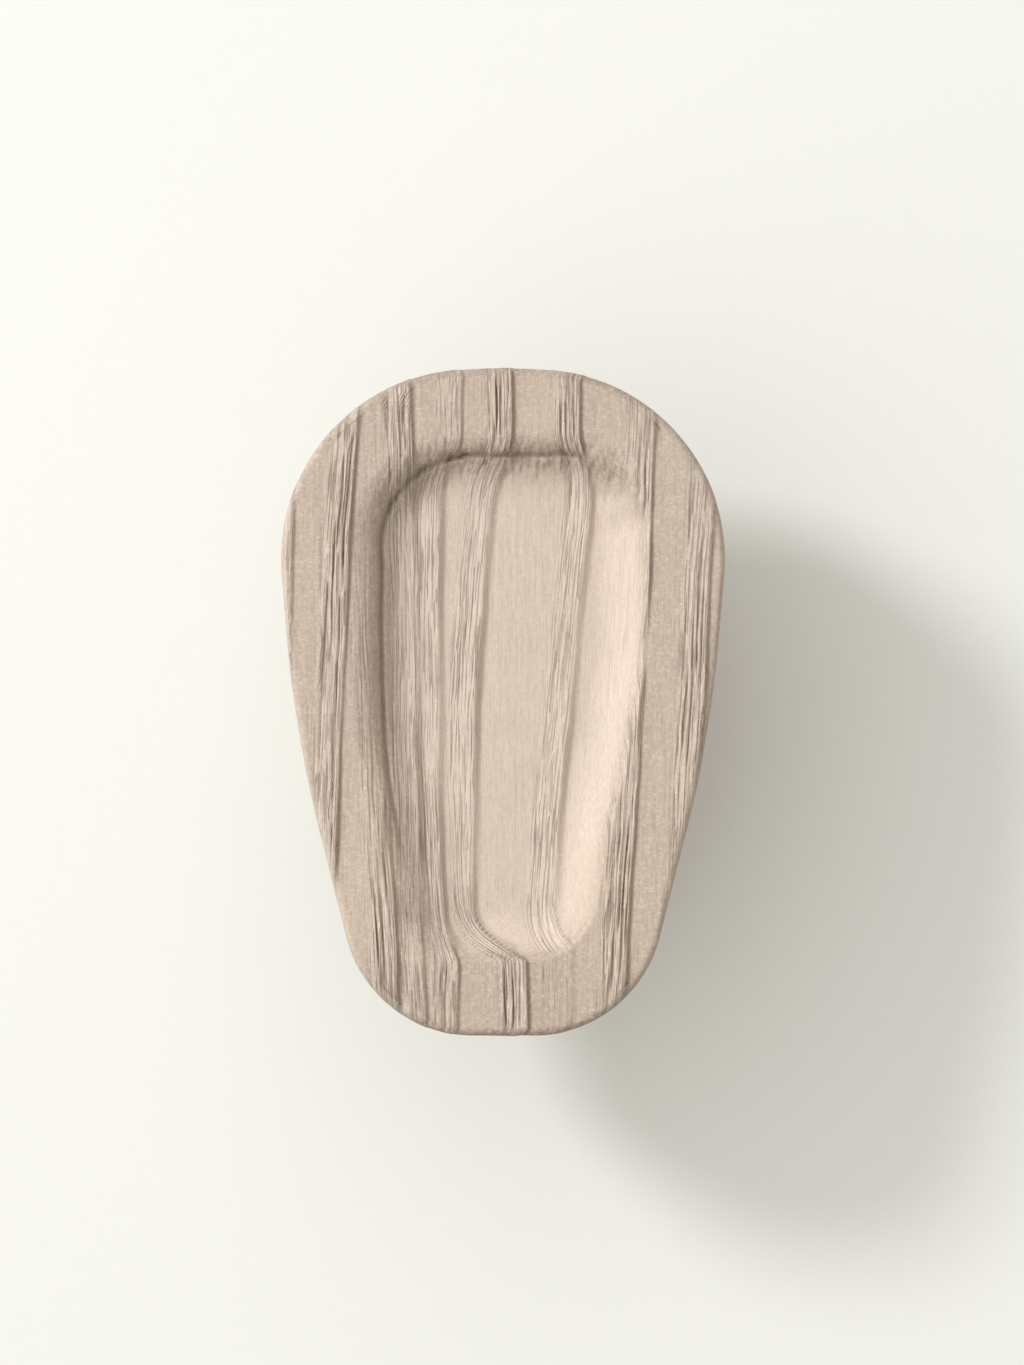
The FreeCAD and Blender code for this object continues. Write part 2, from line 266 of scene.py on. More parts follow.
# ---------------------------------------------------------------- outlines
def outline(corners, spacing=0.1):
    """Points and outward normals along a rounded outline, from where the normal is straight right."""
    points = []
    normals = []
    count = len(corners)
    for i, (x, z, radius) in enumerate(corners):
        here = np.array((x, z))
        back = np.array(corners[i - 1][:2]) - here
        ahead = np.array(corners[(i + 1) % count][:2]) - here
        back /= np.linalg.norm(back)
        ahead /= np.linalg.norm(ahead)
        half = math.acos(np.clip(back @ ahead, -1, 1)) / 2
        middle = (back + ahead) / np.linalg.norm(back + ahead)
        centre = here + middle * radius / math.sin(half)
        first = math.atan2(back[0], -back[1])
        sweep = math.pi - 2 * half
        steps = max(3, int(radius * sweep / spacing))
        for angle in np.linspace(first, first + sweep, steps):
            normal = np.array((math.cos(angle), math.sin(angle)))
            points.append(centre + normal * radius)
            normals.append(normal)
    return fill_runs(np.array(points), np.array(normals), spacing)


def fill_runs(points, normals, spacing):
    """The same closed line with points at an even spacing, arcs and straight runs alike."""
    closed = np.vstack([points, points[:1]])
    turned = np.vstack([normals, normals[:1]])
    length = np.r_[0.0, np.cumsum(np.linalg.norm(np.diff(closed, axis=0), axis=1))]
    places = np.linspace(0.0, length[-1], int(length[-1] / spacing), endpoint=False)
    even = np.column_stack([np.interp(places, length, closed[:, k]) for k in range(2)])
    facing = np.column_stack([np.interp(places, length, turned[:, k]) for k in range(2)])
    facing /= np.linalg.norm(facing, axis=1)[:, None]
    start = int(np.argmin(np.abs(np.arctan2(facing[:, 1], facing[:, 0]))))
    return np.roll(even, -start, axis=0), np.roll(facing, -start, axis=0)


def quarter(points, normals, first, last, places):
    """The stretch of an outline whose normal turns from first to last, cut at places from 0 to 1."""
    angle = np.mod(np.arctan2(normals[:, 1], normals[:, 0]) - first, TURN)
    order = np.argsort(angle, kind="stable")
    chosen = order[angle[order] <= last - first]
    chain = np.sort(np.mod(chosen - chosen[0], len(points))) + chosen[0]
    chain = np.mod(chain, len(points))
    line = points[chain]
    facing = normals[chain]
    length = np.r_[0.0, np.cumsum(np.linalg.norm(np.diff(line, axis=0), axis=1))]
    both = np.hstack([line, facing])
    return np.column_stack([np.interp(places * length[-1], length, both[:, k]) for k in range(4)])


def sides(points, normals, across, upward):
    """An outline's right, top, left and bottom sides, which share their ends, cut at the places."""
    eighth = TURN / 8
    right = quarter(points, normals, -eighth, eighth, upward)
    top = quarter(points, normals, eighth, 3 * eighth, 1 - across[::-1])
    left = quarter(points, normals, 3 * eighth, 5 * eighth, 1 - upward[::-1])
    bottom = quarter(points, normals, 5 * eighth, 7 * eighth, across)
    top[0] = right[-1]
    left[0] = top[-1]
    bottom[0] = left[-1]
    bottom[-1] = right[0]
    return right, top, left, bottom


def fill(four, across, upward, inset):
    """A grid of points that fills the four sides, moved in by inset. Indexed [column, row]."""
    r, t, l, b = (side[:, :2] - side[:, 2:] * inset for side in four)
    t = t[::-1]
    l = l[::-1]
    u = across[:, None, None]
    v = upward[None, :, None]
    ruled = (1 - v) * b[:, None] + v * t[:, None] + (1 - u) * l[None] + u * r[None]
    corners = (1 - u) * (1 - v) * b[0] + u * (1 - v) * b[-1] + (1 - u) * v * t[0] + u * v * t[-1]
    return ruled - corners


def around(four):
    """The four sides as one closed loop, counter-clockwise from the lower left."""
    right, top, left, bottom = four
    return np.vstack([bottom[:-1], right[:-1], top[:-1], left[:-1]])


def rim(columns, rows, first=0):
    """Indices of the border of a grid whose points start at first, in the same order."""
    border = [(i, 0) for i in range(columns)]
    border += [(columns, j) for j in range(rows)]
    border += [(i, rows) for i in range(columns, 0, -1)]
    border += [(0, j) for j in range(rows, 0, -1)]
    return [first + i * (rows + 1) + j for i, j in border]


def depth_into(line, x, z):
    """How far inside an outline each point lies, and the outward normal of the nearest stretch."""
    points, normals = line
    at_once = 4000
    inside = np.empty(len(x))
    facing = np.empty((len(x), 2))
    for start in range(0, len(x), at_once):
        part = slice(start, start + at_once)
        gap = (x[part, None] - points[:, 0]) ** 2 + (z[part, None] - points[:, 1]) ** 2
        nearest = np.argmin(gap, axis=1)
        away = points[nearest] - np.column_stack([x[part], z[part]])
        inside[part] = np.sum(away * normals[nearest], axis=1)
        facing[part] = normals[nearest]
    return inside, facing


# ---------------------------------------------------------------- wood relief
def dish_depth(line, x, z):
    """Depth of the carved dish: a roll outside the wall line, a cove inside it, and a crease between.

    near, top and far say how far a point belongs to the left, top and right wall, brow to the upper
    right corner. Also gives layers: how creased, with painted shade along the crease; painted light on
    the right and bottom walls, which face the light; and the cut layer, painted shade on the left and
    top walls that on the top wall also stands for darker end grain cut across."""
    inside, facing = depth_into(line, x, z)
    near = clamp(-facing[:, 0]) ** FACING_POWER
    top = clamp(facing[:, 1]) ** FACING_POWER
    far = clamp(facing[:, 0])
    brow = 2 * far * clamp(facing[:, 1])
    low = past(-z, LOW_FROM, LOW_OVER)
    lowest = past(-z, LOWEST_FROM, LOWEST_OVER)
    torn = clamp(TORN_NEAR * near * (1 - low) + top + TORN_BROW * brow)
    inside = inside + texture(WALL_WANDER, x, z) + torn * texture(WALL_TEARS, x, z)

    roll = ROLL_LEAST + near * (ROLL_NEAR - ROLL_LESS_LOW * low + ROLL_MORE_LOWEST * lowest)
    roll += ROLL_TOP * top + ROLL_BROW * brow
    cove = COVE_MOST - near * (COVE_LESS_NEAR - COVE_MORE_LOW * low) - COVE_LESS_TOP * top
    steepest = 2 * DISH_DEPTH / (roll + cove)
    outer = steepest * roll / 2 * clamp((inside + roll) / roll) ** 2
    inner = DISH_DEPTH - steepest * cove / 2 * clamp((cove - inside) / cove) ** 2
    depth = np.where(inside < 0, outer, inner)

    # the crease is carved in; its layer also darkens the colour along it as painted shade
    sharp = near * (1 - CREASE_LESS_LOW * low - CREASE_LESS_LOWEST * lowest) + top
    crease = np.exp(-((inside / CREASE_WIDTH) ** 2)) * clamp(sharp) * (1 - brow)
    crease *= CREASE_SHARE + (0.1 + 0.5 * top) * texture(CREASE_BREAKS, x, z)
    # painted light: the right and bottom walls, which face the light, are made lighter in colour
    lit = clamp(far * (1 - brow) + clamp(-facing[:, 1]))
    painted_wall_light = lit * past(depth, 0.2, 0.9) * (1 - past(inside, 1.6, 2.6))
    # darker on the left and top walls: painted shade, and on the top wall also darker end grain; the
    # same zone roughens the fibres
    cut = np.exp(-((inside / SHADE_AND_CUT_WIDTH) ** 2)) * clamp(SHADE_AND_CUT_NEAR * near + top)
    ragged = clamp(cut + 0.5 * brow * np.exp(-((inside / RAGGED_WIDTH) ** 2)))
    fibres = texture(CUT_FIBRES, x, z) + texture(CUT_FLUFF, x, z)
    waves = texture(FLOOR_WAVES, x, z) * past(inside, 0, 2.5)
    carved = depth + CREASE_DEPTH * crease + waves + fibres * ragged
    return carved, {"crease": crease, "painted_wall_light": painted_wall_light, "cut": cut}


def down_face(z):
    """How far down the face a height is: 0 at RING_SPAN, 1 at -RING_SPAN."""
    return (RING_SPAN - z) / (2 * RING_SPAN)


def ring_line(ring, z, depth):
    """X of a band's sharp right edge at a height and at a depth below the face."""
    top, bottom, in_top, in_bottom, in_middle = RINGS[ring][:5]
    down = np.clip(down_face(z), -0.1, 1.1)
    inward = np.clip(depth, 0, 1.2 * DISH_DEPTH) / DISH_DEPTH
    shift = in_top + (in_bottom - in_top) * down + in_middle * 4 * down * (1 - down)
    wander = 0.09 * np.sin(z / 7.3 + 1.7 * ring) + 0.04 * np.sin(z / 2.4 + 2.9 * ring)
    wander = wander + 0.015 * np.sin(z / 0.8 + 4.1 * ring)
    return top + (bottom - top) * down + inward * shift + wander


def ring_strength(ring, z, floor):
    """How strong a band is: its own figures at the rim's top and bottom and on the dish floor."""
    top, bottom, inner = RINGS[ring][5:]
    down = smooth(down_face(z))
    uneven = 1 + 0.25 * np.sin(z / 3.7 + 2.3 * ring)
    return uneven * ((1 - floor) * (top + (bottom - top) * down) + floor * inner)


def pore_grooves(seed):
    """Open pores as grooves, listed like SPLITS: broken lanes in each band, strays beyond its edge."""
    rng = np.random.default_rng(seed)
    reach = 27.0
    found = []
    for ring in range(len(RINGS)):
        for lane in range(PORE_LANES):
            offset = -BAND_WIDTH * (lane + 0.3) / PORE_LANES
            z = -reach + rng.uniform(0, 6)
            while z < reach:
                length = rng.uniform(1.5, 9.0)
                deep = 0.03 + 0.15 * rng.uniform() ** 2.0
                aside = offset + rng.normal(0, 0.07)
                width = rng.uniform(0.055, 0.08)
                found.append((ring, aside, z, z + length, width, deep, rng.uniform(0, TURN)))
                z += length + rng.exponential(2.2)
        for _ in range(rng.integers(4, 9)):
            z = rng.uniform(-26, 25)
            length = rng.uniform(0.8, 3.5)
            aside = rng.exponential(0.9) + 0.4
            deep = rng.uniform(0.03, 0.08)
            found.append((ring, aside, z, z + length, 0.07, deep, rng.uniform(0, TURN)))
    return found


def groove_relief(grooves, x, z, depth, floor):
    """Height and openness of the grooves at each point."""
    height = np.zeros(len(x))
    pore = np.zeros(len(x))
    lines = [ring_line(ring, z, depth) for ring in range(len(RINGS))]
    strengths = [np.clip(ring_strength(ring, z, floor), 0, 1.2) for ring in range(len(RINGS))]
    for ring, aside, low, high, width, deep, phase in grooves:
        beside = np.abs(x - lines[ring] - aside) < GROOVE_REACH
        near = np.flatnonzero((z > low) & (z < high) & beside)
        if not len(near):
            continue
        zs = z[near]
        wander = 0.04 * np.sin(zs / 2.6 + phase) + 0.012 * np.sin(zs / 0.8 + phase)
        across = ((x[near] - (lines[ring][near] + aside + wander)) / width) ** 2
        ends = past(zs, low, GROOVE_TAPER) * past(-zs, -high, GROOVE_TAPER)
        bell = np.exp(-across) * ends * strengths[ring][near]
        height[near] += deep * bell * (0.25 * across - 1.0)
        pore[near] = np.maximum(pore[near], bell * min(1.0, deep / OPEN_DEPTH))
    return np.maximum(height, -DEEPEST), clamp(pore)


GROOVES = pore_grooves(PORE_SEED)


def wood_relief(x, z, depth, margin):
    """Height of the brushed grain above the plain surface, and the layers its colours follow.

    margin is how far inside the head's outline each point lies: the splits end before they reach it."""
    inner = past(depth, 0.1, 0.7)
    floor = past(depth, 0.5, 1.3)
    wall = 4 * floor * (1 - floor)
    width = STEP_WIDTH * (1 + STEP_WIDER_FLOOR * floor + STEP_WIDER_WALL * wall)
    height, band, edge, late, lane = (np.zeros(len(x)) for _ in range(5))
    for ring in range(len(RINGS)):
        beyond = x - ring_line(ring, z, depth)
        strength = ring_strength(ring, z, inner)
        gone = smooth(beyond / width)
        below = np.clip(beyond - width, 0, None)
        climb = clamp(1 + beyond / RISE) ** RISE_POWER * (1 - gone)
        trough = TROUGH * gone * np.exp(-below / TROUGH_WIDTH)
        height += STEP_HEIGHT * strength * (climb - trough) * (1 - STEP_LESS_WALL * wall)
        held = past(beyond, -BAND_WIDTH - 0.3, 0.6) * (1 - past(beyond, 0.05, 0.15))
        lane = np.where(held * strength > band, beyond + LANE_GAP * ring, lane)
        band = np.maximum(band, held * strength)
        # edge: painted shade along each band's step, which faces away from the light
        brink = (beyond - STEP_SHADE_PLACE * width) / (STEP_SHADE_REACH * width)
        edge = np.maximum(edge, strength * np.exp(-(brink**2)))
        late = np.maximum(late, strength * gone * np.exp(-below / SUMMER_WIDTH))
    band = clamp(band)
    pores, pore = groove_relief(GROOVES, x, z, depth, inner)
    splits, split = groove_relief(SPLITS, x, z, depth, inner)
    calm = (1 - 0.5 * floor) * (1 - wall)
    torn = (1 - inner) * past(margin, 0.15, 1.1)
    height += pores * calm + SPLIT_SHARE * splits * torn
    height += texture(BRUSHED_LINES, x, z) * (1 + 1.5 * band) + texture(BRUSHED_GRIT, x, z)
    layers = {"pore": np.maximum(pore * calm, split * torn), "band": band}
    layers.update(edge=clamp(edge), late=clamp(late), lane=lane)
    return height - BURIED, layers


# ---------------------------------------------------------------- meshes
def make_object(name, points, faces, crisp, attributes=None):
    """A mesh object from millimetre points, smooth except over edges sharper than crisp degrees."""
    mesh = bpy.data.meshes.new(name)
    mesh.from_pydata((np.asarray(points) * MM).tolist(), [], faces)
    mesh.update()
    for key, values in (attributes or {}).items():
        layer = mesh.attributes.new(key, "FLOAT", "POINT")
        layer.data.foreach_set("value", np.asarray(values, dtype=np.float32))
    mesh.polygons.foreach_set("use_smooth", [True] * len(mesh.polygons))
    mesh.set_sharp_from_angle(angle=math.radians(crisp))
    piece = bpy.data.objects.new(name, mesh)
    bpy.context.scene.collection.objects.link(piece)
    return piece


class Skin:
    """Points and faces of one mesh, which grows outward from its last ring of points."""

    def __init__(self):
        self.points = []
        self.faces = []
        self.total = 0
        self.ring = []

    def add(self, points):
        """Takes points in and gives the index of the first."""
        first = self.total
        self.points.append(points)
        self.total += len(points)
        return first

    def grow(self, points, join):
        """Takes in a ring of points and joins it to the last ring, which it replaces."""
        first = self.add(points)
        ring = list(range(first, self.total))
        self.faces += join(self.ring, ring)
        self.ring = ring

    def finish(self, name, crisp, attributes=None):
        """The mesh object."""
        return make_object(name, np.vstack(self.points), self.faces, crisp, attributes)


def grid_faces(columns, rows, first, flip=False):
    """Quads of a grid whose points run row by row within each column."""
    faces = []
    for i in range(columns):
        for j in range(rows):
            a = first + i * (rows + 1) + j
            quad = (a, a + rows + 1, a + rows + 2, a + 1)
            faces.append(quad[::-1] if flip else quad)
    return faces


def belt_faces(inner, outer):
    """Quads between two closed rings of the same number of points."""
    count = len(inner)
    return [(inner[k], outer[k], outer[(k + 1) % count], inner[(k + 1) % count]) for k in range(count)]


def fan_faces(fine, coarse):
    """Faces between a closed ring and one with COARSE times fewer points."""
    faces = []
    for k in range(len(coarse)):
        arc = [fine[(k * COARSE + step) % len(fine)] for step in range(COARSE + 1)]
        faces.append((coarse[(k + 1) % len(coarse)], *arc[::-1], coarse[k]))
    return faces


def lathe(name, profile, segments, crisp, ripple=None):
    """A solid turned about the Y axis from a closed profile of (radius, y) points."""
    profile = np.asarray(profile)
    angles = np.arange(segments) / segments * TURN
    radius = np.repeat(profile[:, 0][:, None], segments, axis=1)
    level = np.repeat(profile[:, 1][:, None], segments, axis=1)
    if ripple is not None:
        radius = radius + ripple(radius, level, angles[None, :])
    points = [radius * np.cos(angles), level, radius * np.sin(angles)]
    points = np.stack(points, axis=-1).reshape(-1, 3)
    rings = [list(range(k * segments, (k + 1) * segments)) for k in range(len(profile))]
    faces = []
    for k in range(len(rings)):
        faces += belt_faces(rings[k], rings[(k + 1) % len(rings)])
    return make_object(name, points, faces, crisp)


def run(start, end, spacing):
    """Points from start up to but not including end."""
    start = np.asarray(start, float)
    end = np.asarray(end, float)
    steps = max(1, int(np.linalg.norm(end - start) / spacing))
    return [tuple(start + (end - start) * k / steps) for k in range(steps)]


def runs(corners, spacing):
    """Points along the straight stretches from corner to corner, but not the last corner."""
    return [point for start, end in zip(corners, corners[1:]) for point in run(start, end, spacing)]


def bend(centre, radius, first, last, steps):
    """Points on an arc in (radius, y), angles in degrees from the radius direction, but not its end."""
    angles = np.radians(np.linspace(first, last, steps, endpoint=False))
    return [(centre[0] + radius * math.cos(a), centre[1] + radius * math.sin(a)) for a in angles]


def level_ring(line, y):
    """Points (x, y, z) above an (x, z) line at one level."""
    return np.column_stack([line[:, 0], np.full(len(line), y), line[:, 1]])


def row_places():
    """Heights of the face grid's rows from 0 to 1, closer together across the dish's end walls."""
    fine = np.linspace(0, 1, 2001)
    dense = 1 + sum(more * np.exp(-(((fine - place) / DENSE_SPAN) ** 2)) for place, more in DENSE_ROWS)
    summed = np.r_[0.0, np.cumsum((dense[1:] + dense[:-1]) / 2)]
    return np.interp(np.linspace(0, 1, HEAD_ROWS + 1), summed / summed[-1], fine)


def head_belts():
    """(inset, y, how much it faces outward) of each belt from the face's edge round to the back's."""
    side_end = HEAD_BACK_Y - BACK_EDGE
    belts = []
    for turn in EDGE_TURNS:
        outward = math.sin(turn)
        belts.append((FACE_EDGE * (1 - outward), FACE_Y + FACE_EDGE * (1 - math.cos(turn)), outward))
    for y in np.linspace(FACE_Y + FACE_EDGE, side_end, SIDE_BELTS + 1)[1:]:
        belts.append((0.0, y, 1.0))
    for turn in EDGE_TURNS:
        outward = math.cos(turn)
        belts.append((BACK_EDGE * (1 - outward), side_end + BACK_EDGE * math.sin(turn), outward))
    return belts


def build_head():
    """The carved head: relief on the face and dish, eased edges, a flat back with the neck's socket."""
    line = outline(HEAD_CORNERS)
    dish = outline(DISH_CORNERS)
    across = np.linspace(0, 1, HEAD_COLUMNS + 1)
    upward = row_places()
    four = sides(*line, across, upward)
    x, z = fill(four, across, upward, FACE_EDGE).reshape(-1, 2).T
    depth, carving = dish_depth(dish, x, z)
    margin = depth_into(line, x, z)[0]
    height, found = wood_relief(x, z, depth, margin)
    found.update(carving, fresh=past(depth, FRESH_FROM, FRESH_OVER))
    layers = {key: [values] for key, values in found.items()}

    def add_layers(found, strength, count):
        """Layers of a further ring; those it lacks are 0 there."""
        for key, values in layers.items():
            kept = 1.0 if key in ("lane", "cut") else strength
            values.append(found[key] * kept if key in found else np.zeros(count))

    skin = Skin()
    skin.add(np.column_stack([x, FACE_Y + depth - height, z]))
    skin.faces = grid_faces(HEAD_COLUMNS, HEAD_ROWS, 0)
    skin.ring = rim(HEAD_COLUMNS, HEAD_ROWS)
    loop = around(four)
    facing = loop[:, 2:] / np.linalg.norm(loop[:, 2:], axis=1)[:, None]
    for inset, y, outward in head_belts():
        x, z = (loop[:, :2] - facing * inset).T
        height, found = wood_relief(x, z, np.full(len(x), y - FACE_Y), np.full(len(x), inset))
        on_side = SIDE_RELIEF * outward
        on_face = 1 - outward if y < FACE_Y + FACE_EDGE else 0.0
        moved = facing * (height * on_side)[:, None]
        skin.grow(np.column_stack([x + moved[:, 0], y - height * on_face, z + moved[:, 1]]), belt_faces)
        # darker end grain on the top and bottom sides, made dark enough to paint shade under the bottom
        # edge
        found["cut"] = END_GRAIN_AND_EDGE_SHADE * np.abs(facing[:, 1]) ** 2 * math.sqrt(outward)
        add_layers(found, on_face + on_side, len(x))

    # the back: rings from its edge in to the socket, then the socket's wall and end
    start = loop[::COARSE, :2] - facing[::COARSE] * (BACK_EDGE + BACK_INSET)
    mouth = start / np.linalg.norm(start, axis=1)[:, None] * SOCKET_RADIUS
    count = len(mouth)
    for inward in np.linspace(0, 1, BACK_RINGS + 1):
        ring = start + (mouth - start) * inward
        skin.grow(level_ring(ring, HEAD_BACK_Y), belt_faces if inward else fan_faces)
        found = wood_relief(*ring.T, np.full(count, 2 * DISH_DEPTH), np.zeros(count))[1]
        found.pop("pore")
        add_layers(found, BACK_RELIEF, count)
    for y in np.linspace(HEAD_BACK_Y, HEAD_BACK_Y - SOCKET_DEPTH, SOCKET_RINGS + 1)[1:]:
        skin.grow(level_ring(mouth, y), belt_faces)
        add_layers({}, 0.0, count)
    skin.faces.append(tuple(skin.ring[::-1]))
    joined = {key: np.concatenate(values) for key, values in layers.items()}
    return skin.finish("carved_head", 70, joined)


def build_neck():
    """The turned neck with its tenon, cove, foot and the stepped hole from behind."""
    top, foot, tenon, tenon_end = 9.6, 9.0, 5.0, HEAD_BACK_Y - 5.0
    cove, band, chamfer = 21.0, 1.2, 0.5
    insert_hole, insert_end, countersink = 3.4, -10.6, 0.15
    screw_room, room_end, drill_tip = 2.3, -15.0, -16.3
    axis = 0.02
    start = np.array((top, HEAD_BACK_Y))
    end = np.array((foot, FOOT_Y - band))
    chord = end - start
    half = np.linalg.norm(chord) / 2
    side = np.array((chord[1], -chord[0])) / (2 * half)
    centre = (start + end) / 2 + side * math.sqrt(cove**2 - half**2)
    first, last = (math.degrees(math.atan2(*(p - centre)[::-1])) % 360 for p in (start, end))
    profile = runs([(axis, tenon_end), (tenon, tenon_end), (tenon, HEAD_BACK_Y)], 1.0)
    profile += run((tenon, HEAD_BACK_Y), (top, HEAD_BACK_Y), 1.0)
    profile += bend(centre, cove, first, last, 70)
    profile += runs([(foot, FOOT_Y - band), (foot, FOOT_Y - chamfer), (foot - chamfer, FOOT_Y)], 0.15)
    profile += run((foot - chamfer, FOOT_Y), (insert_hole + countersink, FOOT_Y), 0.35)
    profile += run((insert_hole + countersink, FOOT_Y), (insert_hole, FOOT_Y - countersink), 0.1)
    profile += runs([(insert_hole, FOOT_Y - countersink), (insert_hole, insert_end)], 1.0)
    profile += runs([(insert_hole, insert_end), (screw_room, insert_end), (screw_room, room_end)], 1.0)
    profile += [(screw_room, room_end), (axis, drill_tip)]
    outside_radius, arc_radius = 7.5, 9.0

    def ripple(radius, level, angle):
        """Grain and turning marks on the outside between the head's back and the foot."""
        outside = (radius > outside_radius) & (level > HEAD_BACK_Y) & (level < FOOT_Y - 0.05)
        arc = angle * arc_radius
        grain = texture(NECK_GRAIN, arc, level) + texture(NECK_PORES, arc, level)
        turned = 0.006 * np.sin(level * 14.0) + 0.008 * np.sin(level * 5.3 + 1)
        return np.where(outside, grain + turned, 0.0)

    return lathe("turned_neck", profile, 288, 35, ripple)


def build_washer():
    """A stamped flat washer: rounded on its front edge, a slight burr behind."""
    outer, hole, back = 4.5, 2.15, WASHER_Y + WASHER_THICK
    rounding, bevel, burr = 0.22, 0.12, 0.06
    profile = run((hole + bevel, WASHER_Y), (outer - rounding, WASHER_Y), 0.3)
    profile += bend((outer - rounding, WASHER_Y + rounding), rounding, -90, 0, 6)
    profile += run((outer, WASHER_Y + rounding), (outer, back - burr), 0.1)
    profile += run((outer, back - burr), (outer - burr, back), 0.05)
    profile += run((outer - burr, back), (hole + burr, back), 0.3)
    profile += run((hole + burr, back), (hole, back - burr), 0.05)
    profile += run((hole, back - burr), (hole, WASHER_Y + bevel), 0.1)
    profile += run((hole, WASHER_Y + bevel), (hole + bevel, WASHER_Y), 0.05)
    return lathe("flat_washer", profile, 128, 32)


def screw_shank(skin, seat, around_shank):
    """The threaded shank up to the seat under the head; gives its last ring."""
    length, crest, root, pitch = 25.0, 1.95, 1.60, 0.7
    rows_per_pitch, runout, plain, tip_chamfer = 12, 0.9, 0.5, 0.5
    crest_flat, flank_width = 0.12, 0.74
    rows = int(length / pitch * rows_per_pitch)
    level = np.linspace(seat - length, seat, rows + 1)[:, None]
    angle = (np.arange(around_shank) / around_shank * TURN)[None, :]
    cycle = np.mod(level / pitch - angle / TURN, 1.0)
    flank = clamp((np.abs(2 * cycle - 1) - crest_flat) / flank_width)
    cut = past(-level, -(seat - plain), runout)
    radius = crest - (crest - root) * cut * (1 - flank)
    radius = np.minimum(radius, crest - tip_chamfer + level - (seat - length))
    level = np.broadcast_to(level, radius.shape)
    skin.add(np.stack([radius * np.cos(angle), level, radius * np.sin(angle)], -1).reshape(-1, 3))
    skin.faces.append(tuple(range(around_shank)))
    upper = list(range(around_shank))
    for _ in range(rows):
        lower = upper
        upper = [j + around_shank for j in lower]
        skin.faces += belt_faces(lower, upper)
    return upper


def cross_recess(x, z):
    """Depth of the head's tapered cross recess."""
    half_width, reach, deepest = 0.5, 2.2, 1.9
    side_slope, end_slope = 7.0, 1.15
    recess = np.zeros(len(x))
    for a, b in ((x, z), (z, x)):
        wing = np.minimum((half_width - np.abs(b)) * side_slope, (reach - np.abs(a)) * end_slope)
        recess = np.maximum(recess, np.clip(wing, 0, deepest))
    return recess


def build_screw():
    """An M4 x 25 pan-head machine screw with a cut thread and a tapered cross recess."""
    seat = WASHER_Y + WASHER_THICK
    head, rise, dome, shoulder = 4.0, 3.1, 6.4, 3.75
    edge, under, neck = 1.7, 0.25, 2.0
    around_shank, cells, circle_points = 64, 128, 2048
    skin = Skin()
    seam = screw_shank(skin, seat, around_shank)

    circle = np.arange(circle_points) / circle_points * TURN
    disc = np.column_stack([np.cos(circle), np.sin(circle)])
    places = np.linspace(0, 1, cells + 1)
    four = sides(disc, disc, places, places)
    x, z = (fill(four, places, places, 0.0).reshape(-1, 2) * shoulder).T
    top = seat + rise - (dome - np.sqrt(dome**2 - x**2 - z**2))
    first = skin.add(np.column_stack([x, top - cross_recess(x, z), z]))
    skin.faces += grid_faces(cells, cells, first, flip=True)
    skin.ring = rim(cells, cells, first)
    loop = around(four)[:, :2]
    shoulder_y = seat + rise - (dome - math.sqrt(dome**2 - shoulder**2))
    profile = [(head - 0.07, shoulder_y - 0.12), (head, shoulder_y - 0.35), (head, seat + edge * 0.5)]
    profile += [(head, seat + under), (head - 0.08, seat + 0.08), (head - under, seat), (neck, seat)]
    for radius, y in profile:
        skin.grow(level_ring(loop * radius, y), lambda inner, outer: belt_faces(outer, inner))

    # the head's last ring has several points for each point of the shank's: join them with fans
    per_point = len(skin.ring) // around_shank
    turned = int(np.argmin(np.abs(np.arctan2(loop[:, 1], loop[:, 0]))))
    ring = skin.ring[turned:] + skin.ring[:turned]
    for k in range(around_shank):
        arc = [ring[(k * per_point + step) % len(ring)] for step in range(per_point + 1)]
        skin.faces.append((seam[k], *arc, seam[(k + 1) % around_shank]))
    return skin.finish("pan_head_screw", 40)


# ---------------------------------------------------------------- materials
# colours of the wood, linear
DARK_FIBRE = (0.470, 0.371, 0.306)
LIGHT_FIBRE = (0.572, 0.463, 0.391)
STREAK = (0.495, 0.402, 0.348)
SUMMER_WOOD = (0.400, 0.308, 0.250)
SPRING_WOOD = (0.640, 0.535, 0.462)
FRESH_CUT = (0.720, 0.600, 0.523)
# painted light on the dish walls that face the light
PAINTED_WALL_LIGHT = (0.830, 0.690, 0.600)
# painted shade on the dish's left and top walls and under the head's bottom edge, and darker end grain
SHADE_AND_END_GRAIN = (0.290, 0.222, 0.178)
YELLOWISH = (0.610, 0.500, 0.375)
GREYISH = (0.500, 0.420, 0.365)
FINE_DARK = (0.360, 0.275, 0.220)
MOTTLE = (0.700, 0.595, 0.518)
RAY_FLECK = (0.700, 0.600, 0.525)
DUST = (0.800, 0.725, 0.655)
WISP = (0.800, 0.700, 0.610)
PORE_TEXTURE = (0.225, 0.162, 0.123)
# painted shade on each band's step
STEP_SHADE = (0.235, 0.172, 0.132)
CARVED_PORE = (0.195, 0.141, 0.108)
# painted shade along the dish's crease
CREASE_SHADE = (0.200, 0.145, 0.110)

# colours of the metals, clean and dull, and of the wall's paint
ZINC = (0.66, 0.67, 0.68), (0.50, 0.50, 0.49)
BRASS = (0.78, 0.57, 0.29), (0.52, 0.37, 0.19)
PAINT = (0.806, 0.812, 0.790), (0.818, 0.824, 0.802)


